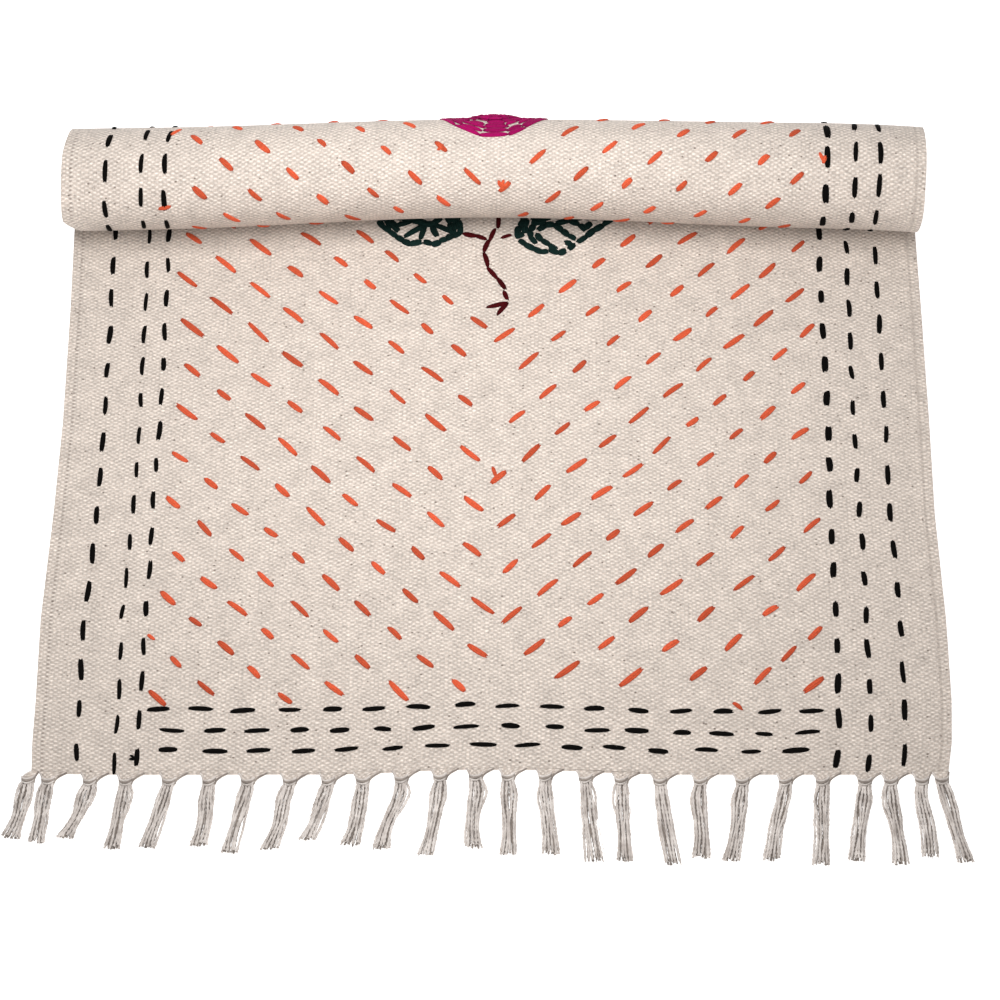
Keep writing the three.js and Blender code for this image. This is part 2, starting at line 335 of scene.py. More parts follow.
groove_shade_and_depth = add_node(tree, "ShaderNodeMath", {"operation": "MULTIPLY"},
                     {0: edge_line.outputs[0], 1: edge_dash.outputs[0]})
bound = add_node(tree, "ShaderNodeMix", {"data_type": "RGBA"},
                 {0: groove_shade_and_depth.outputs[0], 6: flecked.outputs[2], 7: selvedge_groove_shade_colour})
fibre = add_node(tree, "ShaderNodeTexNoise", {},
                 {"Vector": place.outputs[0], "Scale": fibres_per_metre, "Detail": 3})
fibre_lift = add_node(tree, "ShaderNodeMath", {"operation": "MULTIPLY_ADD"},
                      {0: fibre.outputs[0], 1: 0.35, 2: weft_over.outputs[0]})
relief = add_node(tree, "ShaderNodeMath", {"operation": "SUBTRACT"},
                  {0: fibre_lift.outputs[0], 1: groove_shade_and_depth.outputs[0]})
bump = add_node(tree, "ShaderNodeBump", {},
                {"Height": relief.outputs[0], "Strength": 0.7, "Distance": 0.5 * mm})
tree.links.new(bound.outputs[2], shader.inputs["Base Color"])
tree.links.new(bump.outputs[0], shader.inputs["Normal"])
shader.inputs["Roughness"].default_value = 0.93
shader.inputs["Specular IOR Level"].default_value = 0.25
shader.inputs["Sheen Weight"].default_value = 0.12
shader.inputs["Sheen Roughness"].default_value = 0.6
cloth_data.materials.append(weave)

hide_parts("rug_cloth")
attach(cloth, "root")


# Orange running stitches: soft stranded cotton sewn through the cloth by hand in rows that run out from
# the middle at a slant, so that the rows make chevrons round the flower. Each thread shows on the face
# for one stitch and on the back for the next, and so the wound end shows the other half of the rows.
stitch_slant = 0.905
field_edge = 221 * mm
field_start = 51 * mm
crease_room = 4 * mm

# Where each row meets the middle line, its first stitch's distance from that line, and the step between
# stitches, all in millimetres, for the near half: left rows, then right rows.
left_rows = [
    (-146, 220, 21), (-111, 188, 20), (-72, 137, 20.5), (-37, 105, 21), (-1, 63, 22.3), (36, 23, 21.5),
    (74, 10, 22.8), (109, 7, 22.8), (144, 14, 25.3), (179.5, 14, 25.5), (215, 17, 24.8), (251, 22, 24.2),
    (287, 26, 20.6), (322, 12, 20.3),
]
right_rows = [
    (-129, 191, 20), (-93, 158, 18.7), (-52, 110, 24.5), (-16, 91, 25.4), (24, 25, 23.4), (60, 28, 20.4),
    (97.5, 13, 21.9), (134, 11, 20.6), (171, 9, 22.6), (208, 3, 21.6), (246, 14, 22.2), (283, 22, 22.6),
    (318, 7, 22),
]


def new_stitches():
    """An empty mesh that keeps each stitch's tone and each point's reach along its stitch, which sets the
    painted shade at the stitch's ends.
    """
    mesh = bmesh.new()
    mesh.verts.layers.float_vector.new("lie")
    return mesh


# A strand's half width and the strands' spacing are shares of the stitch's width.
one_stitch = bpy.data.meshes.new("one_stitch")
strand_half_width = 0.22
strand_spacing = 0.29
strand_height = 0.62 * mm
stitch_dip = 0.8 * mm


def sew(mesh, start, end, width, side, taper=0.3, padding=0.0):
    """One stitch: three soft strands that come up out of the weave, lie over it and go down again."""
    stitch = new_stitches()
    lie = stitch.verts.layers.float_vector["lie"]
    run = end - start
    ahead = run.normalized()
    beside = Vector((-ahead.y, ahead.x))
    sag = hand.uniform(-0.5, 0.5) * mm
    tone = hand.uniform(0, 1)
    for strand in (-1, 0, 1):
        length = run.length * hand.uniform(0.94, 1.04)
        middle = (start + end) / 2 + ahead * hand.uniform(-0.4, 0.4) * mm
        for vert in bmesh.ops.create_uvsphere(stitch, u_segments=6, v_segments=7, radius=1)["verts"]:
            blunt = max(math.hypot(vert.co.x, vert.co.y), 0.05) ** -0.6
            reach = vert.co.z * length / 2
            off = (vert.co.x * blunt * strand_half_width + strand * strand_spacing) * width
            off *= 1 - taper * abs(vert.co.z) ** 3
            lift = strand_height * vert.co.y * blunt + (0.45 - 0.2 * abs(strand)) * mm
            lift -= stitch_dip * vert.co.z**4
            lift += padding
            spot = middle + ahead * reach + beside * (off + sag * (1 - vert.co.z**2))
            # the stitch's tone, and each point's reach along it, which sets the painted shade at the ends
            vert[lie] = (tone, 0, abs(vert.co.z))
            vert.co = lay(spot.x, spot.y, side * (cloth_thickness / 2 + lift))
    stitch.to_mesh(one_stitch)
    stitch.free()
    mesh.from_mesh(one_stitch)


def finish_stitches(mesh, name, material):
    """Make the stitches one piece that goes with the cloth."""
    bmesh.ops.recalc_face_normals(mesh, faces=mesh.faces)
    data = bpy.data.meshes.new(name)
    mesh.to_mesh(data)
    mesh.free()
    for face in data.polygons:
        face.use_smooth = True
    data.materials.append(material)
    piece = bpy.data.objects.new(name, data)
    bpy.context.collection.objects.link(piece)
    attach(piece, "root")
    return piece


fluff_per_metre = 900


def new_thread(name, colour, dip_shade_colour, sheen):
    """Stranded cotton thread, soft and a little uneven in tone, with painted shade where it dips into the
    weave.
    """
    material, tree, shader = new_material(name)
    place = add_node(tree, "ShaderNodeAttribute", {"attribute_name": "lie"}, {})
    axes = add_node(tree, "ShaderNodeSeparateXYZ", {}, {0: place.outputs["Vector"]})
    body = add_node(tree, "ShaderNodeTexCoord", {}, {})
    fluff = add_node(tree, "ShaderNodeTexNoise", {},
                     {"Vector": body.outputs["Object"], "Scale": fluff_per_metre, "Detail": 3})
    shade = add_node(tree, "ShaderNodeMapRange", {},
                     {"Value": fluff.outputs[0], "From Min": 0.3, "From Max": 0.7,
                      "To Min": 0.74, "To Max": 1.12})
    # Painted shade: the colour darkens towards each stitch's ends, where the thread dips into the weave.
    dip = add_node(tree, "ShaderNodeMapRange", {},
                   {"Value": axes.outputs[2], "From Min": 0.7, "From Max": 1,
                    "To Min": 0, "To Max": 0.85})
    tone = add_node(tree, "ShaderNodeMix", {"data_type": "RGBA"},
                    {0: dip.outputs[0], 6: linear(colour), 7: linear(dip_shade_colour)})
    stitch_shade = add_node(tree, "ShaderNodeMapRange", {},
                            {"Value": axes.outputs[0], "To Min": 0.82, "To Max": 1.2})
    full_shade = add_node(tree, "ShaderNodeMath", {"operation": "MULTIPLY"},
                          {0: shade.outputs[0], 1: stitch_shade.outputs[0]})
    shaded = add_node(tree, "ShaderNodeMix", {"data_type": "RGBA", "blend_type": "MULTIPLY"},
                      {0: 1.0, 6: tone.outputs[2], 7: full_shade.outputs[0]})
    bump = add_node(tree, "ShaderNodeBump", {},
                    {"Height": fluff.outputs[0], "Strength": 0.5, "Distance": 0.3 * mm})
    tree.links.new(shaded.outputs[2], shader.inputs["Base Color"])
    tree.links.new(bump.outputs[0], shader.inputs["Normal"])
    shader.inputs["Roughness"].default_value = 0.85
    shader.inputs["Specular IOR Level"].default_value = 0.08
    shader.inputs["Sheen Weight"].default_value = sheen
    shader.inputs["Sheen Roughness"].default_value = 0.5
    return material


hand = random.Random(41)
chevrons = new_stitches()
slant = Vector((1, stitch_slant)).normalized()
for side_sign, rows in ((-1, left_rows), (1, right_rows)):
    ahead = Vector((side_sign * slant.x, slant.y))
    for meets, first, step in rows:
        reach = first * mm
        while reach < field_edge:
            middle = Vector((side_sign * reach, meets * mm + stitch_slant * reach))
            middle += Vector((hand.uniform(-1, 1), hand.uniform(-1, 1))) * mm
            lean = ahead + Vector((hand.uniform(-0.1, 0.1), hand.uniform(-0.1, 0.1)))
            half = lean.normalized() * step * mm * hand.uniform(0.28, 0.48)
            if field_start < middle.y and middle.y + half.y < flat_length - crease_room:
                sew(chevrons, middle - half, middle + half, hand.uniform(3.4, 4.4) * mm, 1, taper=0.45)
            reach += step * mm * hand.uniform(0.95, 1.05)

# The same rows on the back of the far half, where each is turned round: it runs in towards the middle.
left_back_rows = [
    (585, 14, 22.5), (622, 34, 20), (658, 65, 18.5), (696, 98, 21.5), (733, 125, 20.8), (767, 161, 22.5),
    (803, 206, 22), (549, 8, 22),
]
right_back_rows = [
    (587, 8, 22), (624.5, 22, 19.5), (661, 54, 19), (697, 91, 20), (732, 125, 21), (766, 176, 18),
    (803, 206, 20), (551, 12, 22),
]
back_slant = 0.934
back_start = 450 * mm
back_end = 636 * mm
motif_middle = Vector((-1, 509)) * mm
motif_room = 50 * mm
for side_sign, rows in ((-1, left_back_rows), (1, right_back_rows)):
    ahead = Vector((side_sign * slant.x, -slant.y))
    for meets, first, step in rows:
        reach = first * mm
        while reach < field_edge:
            middle = Vector((side_sign * reach, meets * mm - back_slant * reach))
            middle += Vector((hand.uniform(-1, 1), hand.uniform(-1, 1))) * mm
            half = ahead * step * mm * hand.uniform(0.24, 0.385)
            clear = (middle - motif_middle).length > motif_room
            if clear and back_start < middle.y < back_end:
                sew(chevrons, middle - half, middle + half, hand.uniform(3.3, 4.3) * mm, -1, taper=0.45)
            reach += step * mm * hand.uniform(0.96, 1.04)

# Odd stitches where a row was turned or made good, and thread ends left as tufts: both ends of each on
# the face, then on the back, in millimetres.
odd_face_stitches = [
    ((-229, 99), (-223.5, 94.5)), ((156.5, 49), (163.5, 43.5)), ((-2, 220.5), (1, 211.5)),
]
odd_back_stitches = [
    ((-233, 586.5), (-223.5, 585)), ((-229, 535), (-221, 524)), ((-40, 547.5), (-36, 553)),
    ((-39.5, 554), (-35.5, 549)), ((3.5, 574), (7.5, 579.5)), ((7.5, 573), (7, 581)),
    ((11, 574.5), (7, 579.5)), ((225.5, 551), (230, 559)), ((230.5, 552.5), (228, 559)),
]
for side, stitches in ((1, odd_face_stitches), (-1, odd_back_stitches)):
    for start, end in stitches:
        width = hand.uniform(2.4, 3.2) * mm
        sew(chevrons, Vector(start) * mm, Vector(end) * mm, width, side, taper=0.6)
# Burnt orange, soft and matt, a shade lighter or darker from stitch to stitch.
orange_thread = new_thread("orange stranded cotton", "#ca5637", "#8c331c", 0.06)
chevron_piece = finish_stitches(chevrons, "chevron_stitches", orange_thread)


# Black border stitches: the same running stitch in black thread, three lines up each side of the field
# and three across below it, about 14 mm to a stitch with as much again on the other face.

# Place across at the hem, at the foot of the roll and over the roll, then the first stitch's place along,
# the step between stitches and the stitches' width, in millimetres.
border_columns = [
    (-231, -233, -227.5, 10, 27, 3.5), (-246, -246, -244, 5.5, 27.2, 3),
    (-271, -271, -270, 15, 28.8, 3.7), (226.5, 231.5, 230.5, 10, 26.9, 4.6),
    (247, 249.5, 250.5, 8, 26.4, 3.7), (269.5, 269.5, 267.5, 13, 29.6, 3.7),
]
column_end = 640 * mm
column_back_start = 448 * mm
column_back_step = 23 * mm
column_sway = 1.6 * mm
# Distance from the hem, first stitch's place across, the step, and how far the line sinks to the right.
border_lines = [(15.5, -211, 29.2, 0), (30, -210, 27.7, 3), (44.5, -220, 28.6, 2)]
line_end = 214 * mm

border = new_stitches()
for near, far, over, first, step, width in border_columns:
    along = first * mm
    while along < column_end:
        across = near + (far - near) * along / flat_length if along < flat_length else over
        sway = column_sway * noise.noise(Vector((near * 0.3, along * 9, 1.7)))
        middle = Vector((across * mm + sway, along + hand.uniform(-1.5, 1.5) * mm))
        half = Vector((hand.uniform(-0.7, 0.7) * mm, step * mm * hand.uniform(0.21, 0.3)))
        if middle.y + half.y < flat_length - crease_room:
            sew(border, middle - half, middle + half, width * hand.uniform(0.88, 1.08) * mm, 1)
        elif middle.y - half.y > column_back_start:
            sew(border, middle - half, middle + half, width * hand.uniform(0.88, 1.08) * mm, -1)
        along += step * mm if middle.y < flat_length else column_back_step
for along, first, step, sink in border_lines:
    across = first * mm
    while across < line_end:
        share = across / rug_width + 0.5
        middle = Vector((across, (along - sink * share) * mm))
        middle += Vector((hand.uniform(-1.5, 1.5), hand.uniform(-0.9, 0.9))) * mm
        half = Vector((step * mm * hand.uniform(0.22, 0.33), hand.uniform(-0.9, 0.9) * mm))
        sew(border, middle - half, middle + half, hand.uniform(2.7, 3.8) * mm, 1, taper=0.5)
        across += step * mm
# the thread's knotted end, by the lowest stitch of the left column
for start, end in (((-236, 12.5), (-232, 9)), ((-237, 9.5), (-232, 10))):
    sew(border, Vector(start) * mm, Vector(end) * mm, 1.7 * mm, 1, taper=0.6)
# Black with no shine, so each stitch reads as one dark dash.
black_thread = new_thread("black stranded cotton", "#070504", "#040302", 0)
border_piece = finish_stitches(border, "border_stitches", black_thread)


# Flower in the middle of the rug: magenta stitches laid close, round and round in short straight sides over
# a padded heart, two leaves in dark green and a maroon stem in back stitch. The leaves and the stem are
# seen on the face, and the flower from the back where the cloth turns over the roll.

# The outer round's corners from the flower's middle, in millimetres.
flower_corners = [
    (-38, 7), (-27, 23), (-10, 32.5), (11, 32), (22, 25),
    (35.5, 7), (35, -7), (11, -33), (-12, -33), (-38, -7),
]
longest_flower_stitch = 19
# Each round's share of the outer one, and the padding under it in millimetres.
flower_rounds = [
    (1, 0), (0.885, 0.2), (0.77, 0.2), (0.66, 0.2), (0.54, 0.2), (0.44, 0.2), (0.36, 0.8), (0.25, 1.2),
    (0.42, 1.3), (0.32, 2), (0.22, 2.3), (0.1, 2.5),
]
# Round and side of the stitches that were left out, where the cloth shows through.
flower_gaps = [(4, 1), (2, 3), (3, 5)]
flower = new_stitches()
for turn, (share, padding) in enumerate(flower_rounds):
    for side, corner in enumerate(flower_corners):
        if (turn, side) in flower_gaps:
            continue
        start = Vector(corner) * share
        end = Vector(flower_corners[(side + 1) % len(flower_corners)]) * share
        parts = max(1, round((end - start).length / longest_flower_stitch))
        for part in range(parts):
            here = start.lerp(end, part / parts - hand.uniform(-0.04, 0.14))
            there = start.lerp(end, (part + 1) / parts + hand.uniform(-0.04, 0.14))
            here += Vector((hand.uniform(-0.6, 0.6), hand.uniform(-0.6, 0.6)))
            there += Vector((hand.uniform(-0.6, 0.6), hand.uniform(-0.6, 0.6)))
            sew(flower, motif_middle + here * mm, motif_middle + there * mm, hand.uniform(3.3, 4.4) * mm, -1,
                taper=0.65, padding=padding * mm + hand.uniform(0, 0.3) * mm)
# Deep magenta, soft and matt, with painted shade, nearly maroon, where the rounds dip between one another.
magenta_thread = new_thread("magenta stranded cotton", "#970554", "#5c0232", 0.03)
flower_piece = finish_stitches(flower, "flower_stitches", magenta_thread)

# Each leaf: the rows of stitches along its outline and inside it, as points, and then its veins, each by
# its two ends, in millimetres.
left_leaf_rows = [
    [(-83.5, 420), (-79.5, 414), (-75, 410.5), (-70.5, 405.5), (-66, 401.5), (-60.5, 399), (-52, 400.5)],
    [(-51, 400.5), (-45.5, 398.5), (-39.5, 400.5), (-34.5, 402.5), (-29, 405), (-25, 407.5), (-24.5, 412.5),
     (-26, 418), (-28.5, 422)],
    [(-34.5, 422), (-32, 416), (-30, 410.5), (-29, 407)], [(-31, 421), (-29, 416), (-27.5, 411)],
    [(-77.5, 419.5), (-73, 414), (-69.5, 410)], [(-76, 420), (-70.5, 415)],
]
left_leaf_veins = [
    ((-48.5, 416.5), (-59.5, 418.5)), ((-59.5, 418.5), (-70.5, 415)), ((-48.5, 416), (-65.5, 405.5)),
    ((-49.5, 415), (-53, 403)), ((-45.5, 414.5), (-41, 405)), ((-43.5, 414.5), (-30, 408)),
    ((-45.5, 415), (-38.5, 421)), ((-51, 416), (-58.5, 421)), ((-54, 416), (-42, 415)),
    ((-82, 421.5), (-71, 422)), ((-71, 422), (-54, 421.5)),
]
right_leaf_rows = [
    [(84.5, 420.5), (77.5, 416), (71, 411), (65, 406), (59.5, 401)], [(57, 398.5), (52.5, 394.5)],
    [(50.5, 393.5), (45, 391), (38.5, 393.5)],
    [(37.5, 392), (33, 391.5), (27.5, 394), (21.5, 397.5), (17.5, 401.5)],
    [(15.5, 404.5), (15.5, 408.5), (17.5, 413), (20, 418), (23, 424)], [(22.5, 419), (22, 413), (21.5, 408)],
    [(30, 419), (27.5, 414), (25, 409.5), (25.5, 405)],
    [(30, 407.5), (33, 401.5), (38.5, 398), (43.5, 394.5)],
    [(30.5, 410), (36.5, 414.5), (42, 414.5), (47.5, 410), (52.5, 406), (57.5, 403.5)],
    [(44, 416.5), (53, 418.5), (60, 415.5), (64, 411)],
]
right_leaf_veins = [
    ((49.5, 400), (54, 399.5)), ((29.5, 416), (37.5, 417)), ((69, 417), (64, 412.5)),
    ((15.5, 404), (20.5, 407)), ((25.5, 404), (29, 399)), ((74, 421.5), (62, 421.5)),
    ((62, 421), (50, 420.5)), ((26, 420), (40, 420)),
]
leaf_overlap = 0.8 * mm
leaves = new_stitches()
for rows, veins in ((left_leaf_rows, left_leaf_veins), (right_leaf_rows, right_leaf_veins)):
    for start, end in [pair for row in rows for pair in zip(row, row[1:])] + veins:
        start = Vector(start) * mm + Vector((hand.uniform(-0.5, 0.5), hand.uniform(-0.5, 0.5))) * mm
        end = Vector(end) * mm + Vector((hand.uniform(-0.5, 0.5), hand.uniform(-0.5, 0.5))) * mm
        over = (end - start).normalized() * leaf_overlap
        sew(leaves, start - over, end + over, hand.uniform(4.3, 5.4) * mm, 1, taper=0.35)
# Bottle green so dark that it shows green only where the light meets it.
green_thread = new_thread("dark green stranded cotton", "#0e2320", "#081412", 0)
leaf_piece = finish_stitches(leaves, "leaf_stitches", green_thread)

# Both ends of each stitch of the stem, from the flower down, then of the stalk of the left leaf, and of
# the thinner stalk of the right leaf, in millimetres.
stem_path = [
    ((2.8, 422), (2, 411.5)), ((0.3, 411), (-3.6, 401)), ((-4, 401), (-8, 391.5)),
    ((-8.2, 390.5), (-5.2, 378.5)), ((-5.6, 378), (1.3, 369)), ((0.8, 370), (6.6, 361)),
    ((6, 359), (8.2, 352.5)), ((8.6, 350), (-6.5, 346)), ((8.6, 349.5), (1, 340)),
    ((-22.5, 407), (-13.5, 405)), ((-14, 405.3), (-6.3, 402.3)),
]
right_stalk = ((4, 402.5), (12.5, 406.3))
right_stalk_width = 2.6 * mm
stem = new_stitches()
for start, end in stem_path:
    over = (Vector(end) - Vector(start)).normalized()
    width = hand.uniform(3.3, 4.1) * mm
    sew(stem, (Vector(start) - over) * mm, (Vector(end) + over) * mm, width, 1, taper=0.6)
sew(stem, Vector(right_stalk[0]) * mm, Vector(right_stalk[1]) * mm, right_stalk_width, 1, taper=0.6)
# Dull maroon, close to brown beside the magenta.
maroon_thread = new_thread("maroon stranded cotton", "#41070c", "#2a0508", 0)
stem_piece = finish_stitches(stem, "stem_stitches", maroon_thread)


# Fringe: the warp ends left beyond the last pick, gathered eight to ten at a time, tied in an
# overhand knot close to the hem and cut. Each end is a two-ply yarn, and the ends lie loose on the floor.

# The knot's place from the rug's middle line, how far the tip strays from it, how far it reaches from the
# hem, and how much the ends fan out, left to right, in millimetres but for the last.
tassels = [
    (-301, -9, 46, 1.3), (-288, -5, 48, 1.2), (-261, -14, 45, 1.2), (-238, -6, 51.5, 1.1),
    (-210, -12, 51, 1.1), (-184, -5, 50, 1.2), (-159, -10, 54.5, 1.1), (-132, -12, 51.5, 1.2),
    (-107, -13, 45, 1.1), (-85, -7, 49.5, 1.4), (-60, -12, 52.5, 1.2), (-35, -9, 58.5, 1.1),
    (-12, -1, 54, 1.2), (9, 0, 59, 1.1), (33, 3, 58, 1.2), (59, 5, 61.5, 1.3), (82, 1, 60.5, 1.1),
    (107, 7, 62, 1.1), (133, -1, 57.5, 1.2), (160, -9, 59.5, 1.2), (188, -11, 59, 1.1),
    (212, -4, 62, 1.2), (239, -8, 59.5, 1.1), (256, 3, 62, 1.2), (276, 2, 57.5, 1.1),
    (289, 12, 61.5, 1.1),
]
yarn_radius = 0.68 * mm
hair_radius = 0.14 * mm
ply_offset = 0.36 * mm
yarn_twist = 7 * mm
blotches_per_metre = 160
hairs_per_metre = 1500


def new_yarn(name, dark_colour, pale_colour):
    """Undyed cotton yarn, matt and hairy, with paler and greyer lengths."""
    material, tree, shader = new_material(name)
    body = add_node(tree, "ShaderNodeTexCoord", {}, {})
    blotch = add_node(tree, "ShaderNodeTexNoise", {},
                      {"Vector": body.outputs["Object"], "Scale": blotches_per_metre, "Detail": 3})
    share = add_node(tree, "ShaderNodeMapRange", {},
                     {"Value": blotch.outputs[0], "From Min": 0.3, "From Max": 0.7})
    tone = add_node(tree, "ShaderNodeMix", {"data_type": "RGBA"},
                    {0: share.outputs[0], 6: linear(dark_colour), 7: linear(pale_colour)})
    hairs = add_node(tree, "ShaderNodeTexNoise", {},
                     {"Vector": body.outputs["Object"], "Scale": hairs_per_metre, "Detail": 3})
    bump = add_node(tree, "ShaderNodeBump", {},
                    {"Height": hairs.outputs[0], "Strength": 0.6, "Distance": 0.2 * mm})
    tree.links.new(tone.outputs[2], shader.inputs["Base Color"])
    tree.links.new(bump.outputs[0], shader.inputs["Normal"])
    shader.inputs["Roughness"].default_value = 0.93
    shader.inputs["Specular IOR Level"].default_value = 0.2
    shader.inputs["Sheen Weight"].default_value = 0.1
    shader.inputs["Sheen Roughness"].default_value = 0.6
    return material


# The ends on top catch the light; those under them lie in their shade, and their yarn is a darker copy of the
# same yarn with that shade painted into its colour.
upper_yarn = new_yarn("undyed cotton warp yarn", "#b3a9a2", "#e2dad4")
shade_painted_yarn = new_yarn("shade painted cotton warp yarn", "#7d736c", "#a3988f")


def tubes(paths):
    """A mesh of round yarn along each path, whose points have their own radius, in the path's material."""
    curve = bpy.data.curves.new("yarn_paths", "CURVE")
    curve.dimensions = "3D"
    curve.bevel_depth = 1
    curve.bevel_resolution = 1
    curve.use_fill_caps = True
    for material in (upper_yarn, shade_painted_yarn, weave):
        curve.materials.append(material)
    for path, material_index in paths:
        spline = curve.splines.new("POLY")
        spline.material_index = material_index
        spline.points.add(len(path) - 1)
        for point, (spot, radius) in zip(spline.points, path):
            point.co = (*spot, 1)
            point.radius = radius
    holder = bpy.data.objects.new("yarn_paths", curve)
    bpy.context.collection.objects.link(holder)
    drawn = holder.evaluated_get(bpy.context.evaluated_depsgraph_get())
    made = bpy.data.meshes.new_from_object(drawn)
    bpy.data.objects.remove(holder)
    bpy.data.curves.remove(curve)
    return made


ply_opens_from = 0.85


def plied(path, material_index):
    """Two plies twisted round each other along a yarn's path, opening a little at the cut end."""
    plies = []
    begin = hand.uniform(0, 2 * math.pi)
    runs = [0]
    for a, b in zip(path, path[1:]):
        runs.append(runs[-1] + (b - a).length)
    for half in (0, math.pi):
        ply = []
        for i, spot in enumerate(path):
            ahead = (path[min(i + 1, len(path) - 1)] - path[max(i - 1, 0)]).normalized()
            beside = ahead.cross(Vector((0, 0, 1))).normalized()
            over = beside.cross(ahead)
            angle = begin + half + 2 * math.pi * runs[i] / yarn_twist
            open_end = 1 + 0.8 * max(0, i / (len(path) - 1) - ply_opens_from) / (1 - ply_opens_from)
            swing = (beside * math.cos(angle) + over * math.sin(angle)) * ply_offset * open_end
            ply.append((spot + swing, yarn_radius * (1 if i < len(path) - 1 else 0.7)))
        plies.append((ply, material_index))
    return plies


# Where an end leaves the knot, below the hem and above the floor, how far it wanders to the side, in
# millimetres, and the share of its length in which it comes down to lie at its own level.
knot_foot = 6.8
knot_foot_height = 3.0
strand_wander = 0.85
fall_share = 0.28
strand_steps = 22


def strand_path(tassel, across, level, short, bend, sway, pinch):
    """One warp end: out of the knot, down to the floor and along it to its cut."""
    knot, stray, reach, fan = tassel
    begin = Vector((across * 0.7, -knot_foot))
    turn = Vector((across * 1.05 + stray * 0.25 + bend, -8.5 - reach * 0.25))
    end = Vector((stray + across * fan, short - reach))
    points = []
    for i in range(strand_steps + 1):
        share = i / strand_steps
        spot = begin.lerp(turn, share).lerp(turn.lerp(end, share), share)
        wander = strand_wander * noise.noise(Vector((knot * 0.7 + across * 3, share * 5, level * 4.0)))
        wander += (sway + across * pinch) * math.sin(2 * math.pi * share)
        fall = max(0, 1 - share / fall_share) ** 2
        height = level * (1 - fall) + (knot_foot_height + 0.4 * (level - 1.7)) * fall
        x = (knot + spot.x + wander) * mm
        y = spot.y * mm - hem_line(x)
        points.append(Vector((middle_x + x, hem_y + y, height * mm)))
    return points


# The ends of one tassel, and the heights at which they lie over the floor, in millimetres.
under_ends = 6
upper_ends = 4
loose_hairs = 9
under_level = 1.05
upper_level = 2.75

# The hem's two corners, how far a gather reaches to the left and right of its knot where the next one leaves
# room, and how far its neck reaches at the knot, in millimetres.
hem_left, hem_right = flat_edges[0][1:]
gather_left_most = 6
gather_right_most = 12
gather_room = 6.6
neck_left = -3.5
neck_right = 3.7

# How steeply the two sides of the gather draw in, and its length below the hem and its lap on the cloth, in
# millimetres, with room for the warp end along each side.
left_curve = 3
right_curve = 2.2
gather_length = 8
gather_lap = 1.5
side_end_room = 0.1
side_end_steps = 8
side_end_radius = 0.8 * mm

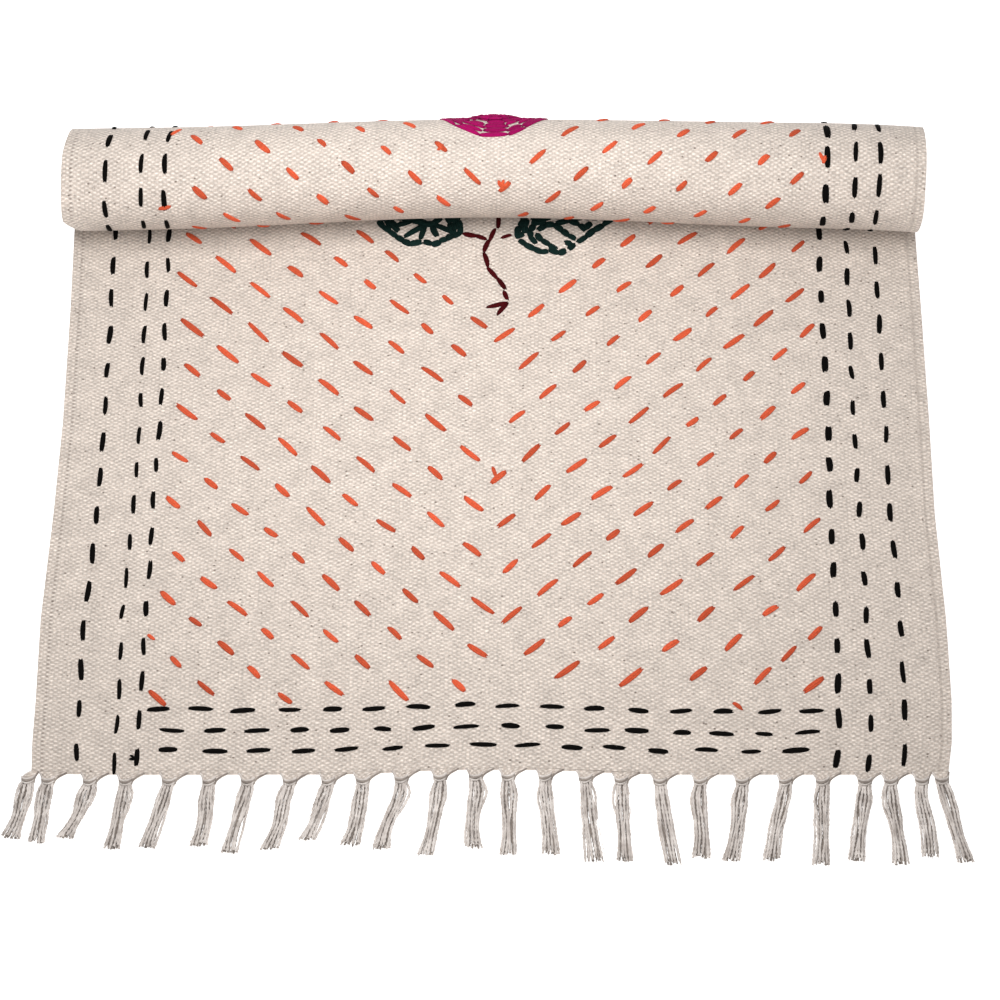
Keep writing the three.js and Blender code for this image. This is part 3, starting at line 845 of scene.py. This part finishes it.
# The knot's turns, lowest first: how far each hangs below the hem, how high it stands and how wide it is from
# its middle, in millimetres, and which yarn shows, where 1 is the yarn with painted shade.
knot_turns = [(8.4, 4.2, 3.5, 0), (7.1, 4.8, 3.9, 1), (5.8, 4.9, 4.1, 0)]
turn_end_height = 2.6
turn_steps = 12
turn_radius = 0.75 * mm
for order, tassel in enumerate(tassels):
    knot = tassel[0]
    next_gather = tassels[order + 1][0] - gather_room if order + 1 < len(tassels) else hem_right
    gather_left = max(-gather_left_most, hem_left - knot)
    gather_right = min(gather_right_most, next_gather - knot)
    hem_here = hem_y - hem_line(knot * mm)

    # the ends below the knot: some lie on the floor and the rest over them, with loose hairs
    paths = []
    bend = hand.uniform(-1.8, 1.8)
    sway = hand.uniform(-0.9, 0.9)
    pinch = hand.uniform(0.05, 0.3)
    for i in range(under_ends):
        outermost = i in (0, under_ends - 1)
        apart = sway + (hand.uniform(-1.4, 1.4) if outermost else 0)
        across = -4.3 + 1.72 * i
        path = strand_path(tassel, across, under_level, hand.uniform(0, 2), bend, apart, pinch)
        # the inner under ends take the yarn with painted shade
        paths += plied(path, 0 if outermost else 1)
    for i in range(upper_ends):
        across = -3.3 + 2.2 * i + hand.uniform(-0.4, 0.4)
        apart = sway + hand.uniform(-0.5, 0.5)
        path = strand_path(tassel, across, upper_level, hand.uniform(0, 3), bend, apart, pinch)
        paths += plied(path, 0)
    for _ in range(loose_hairs):
        path = strand_path(tassel, hand.uniform(-5.2, 5.2), hand.uniform(0.6, 3.4), hand.uniform(-1.8, 5),
                           bend + hand.uniform(-1.5, 1.5), sway, pinch)
        paths.append(([(spot, hair_radius) for spot in path], 0))

    # the knot: turns of the bundle show one below another, each hung like a cup from side to side
    tilt = hand.uniform(0.2, 1.1)
    for low, high, spread, tone in knot_turns:
        cup = []
        for step in range(turn_steps + 1):
            angle = math.pi * step / turn_steps
            x = 0.1 + spread * math.cos(angle)
            y = tilt * math.cos(angle) - low + 3 * (1 - math.sin(angle))
            z = turn_end_height + (high - turn_end_height) * math.sin(angle) ** 0.6
            cup.append((Vector((middle_x + (knot + x) * mm, hem_here + y * mm, z * mm)), turn_radius))
        paths.append((cup, tone))
    # and the outermost warp ends drawn in along both sides of the gather, the right one in the yarn with
    # painted shade
    left_side = (gather_left, neck_left - side_end_room, left_curve, 0)
    right_side = (gather_right, neck_right + side_end_room, right_curve, 1)
    for outer, inner, curve, tone in (left_side, right_side):
        drawn_in = []
        for step in range(side_end_steps + 1):
            run = step / side_end_steps
            x = (knot + inner + (outer - inner) * (1 - run) ** curve) * mm
            y = hem_y - hem_line(x) - 7.4 * run * mm
            drawn_in.append((Vector((middle_x + x, y, (3.4 - 0.8 * run) * mm)), side_end_radius))
        paths.append((drawn_in, tone))
    name = f"tassel_yarns_{order + 1:02d}"
    data = tubes(paths)
    data.name = name

    # the gather: a tongue of the cloth's edge drawn in and rounded down to the knot
    mesh = bmesh.new()
    mesh.from_mesh(data)
    cut = mesh.loops.layers.uv.new("cut")
    tongue = bmesh.ops.create_grid(mesh, x_segments=12, y_segments=9, size=1)["verts"]
    faces = list({face for vert in tongue for face in vert.link_faces})
    for vert in tongue:
        share = (vert.co.x + 1) / 2
        vert.co.x = (knot + gather_left + (gather_right - gather_left) * share) * mm
        vert.co.y = (gather_lap + (vert.co.y - 1) * (gather_length + gather_lap) / 2) * mm
    for face in faces:
        face.material_index = 2
        for corner in face.loops:
            corner[cut].uv = corner.vert.co.xy
    for vert in tongue:
        share = (vert.co.x / mm - knot - gather_left) / (gather_right - gather_left)
        run = min(max(0, -vert.co.y / (gather_length * mm)), 1)
        left = neck_left + (gather_left - neck_left) * (1 - run) ** left_curve
        right = neck_right + (gather_right - neck_right) * (1 - run) ** right_curve
        x = (knot + left + (right - left) * share) * mm
        bow = hem_line(x)
        crown = 2.2 * math.sin(math.pi * share) - 1.3
        close = max(0, run - 0.8) / 0.2
        height = cloth_thickness + (0.1 + crown * run - 1.2 * close**2) * mm
        vert.co = (middle_x + x, hem_y + vert.co.y - bow, height)
    under = bmesh.ops.extrude_face_region(mesh, geom=faces)["geom"]
    for vert in [part for part in under if isinstance(part, bmesh.types.BMVert)]:
        vert.co.z = min(vert.co.z - 1.2 * mm, 0.7 * mm)
    bmesh.ops.recalc_face_normals(mesh, faces=mesh.faces)
    mesh.to_mesh(data)
    mesh.free()
    for face in data.polygons:
        face.use_smooth = True
    piece = bpy.data.objects.new(name, data)
    bpy.context.collection.objects.link(piece)
    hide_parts(f"tassel_{order + 1:02d}")
    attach(piece, "root")


# Floor, light and camera: the rug lies on a sweep of white paper, under a broad light from the hem's side, a
# weaker one from behind the roll and a softbox over the middle, and is seen from above the fringed end.
floor_reach = 30
floor_mesh = bmesh.new()
bmesh.ops.create_grid(floor_mesh, x_segments=1, y_segments=1, size=floor_reach)
floor_data = bpy.data.meshes.new("floor")
floor_mesh.to_mesh(floor_data)
floor_mesh.free()
floor = bpy.data.objects.new("floor", floor_data)
bpy.context.collection.objects.link(floor)
# Matt white paper: its glow stands for light from all round, so it shows white with a faint shade by the rug.
paper, _, shader = new_material("white paper sweep")
shader.inputs["Base Color"].default_value = linear("#f6f6f6")
shader.inputs["Roughness"].default_value = 0.9
shader.inputs["Emission Color"].default_value = linear("#ffffff")
shader.inputs["Emission Strength"].default_value = 0.72
floor_data.materials.append(paper)

world = bpy.data.worlds.new("studio")
bpy.context.scene.world = world
world.use_nodes = True
sky = world.node_tree.nodes["Background"]
sky.inputs["Color"].default_value = linear("#ffffff")
sky.inputs["Strength"].default_value = 0.27

key_data = bpy.data.lights.new("broad key light", "SUN")
key_data.energy = 0.9
key_data.angle = math.radians(30)
key = bpy.data.objects.new("broad key light", key_data)
key_height = 45
key.rotation_euler = (math.radians(90 - key_height), 0, 0)
bpy.context.collection.objects.link(key)

back_data = bpy.data.lights.new("broad back light", "SUN")
back_data.energy = 0.4
back_data.angle = math.radians(60)
back = bpy.data.objects.new("broad back light", back_data)
back_height = 25
back.rotation_euler = (math.radians(90 - back_height), 0, math.radians(180))
bpy.context.collection.objects.link(back)

lamp_data = bpy.data.lights.new("softbox", "AREA")
lamp_data.shape = "DISK"
lamp_data.size = 0.5
lamp_data.energy = 4.25
lamp = bpy.data.objects.new("softbox", lamp_data)
lamp.location = (middle_x - 45 * mm, hem_y + 285 * mm, 630 * mm)
lamp.visible_camera = False
bpy.context.collection.objects.link(lamp)

bpy.context.scene.view_settings.view_transform = "Standard"

lens = bpy.data.cameras.new("camera")
lens.sensor_width = 36
lens.lens = 102.6
camera = bpy.data.objects.new("camera", lens)
camera.location = (middle_x + 3.7 * mm, hem_y - 682 * mm, 1724 * mm)
camera_pitch = 63
camera.rotation_euler = (math.radians(90 - camera_pitch), 0, 0)
bpy.context.collection.objects.link(camera)
bpy.context.scene.camera = camera
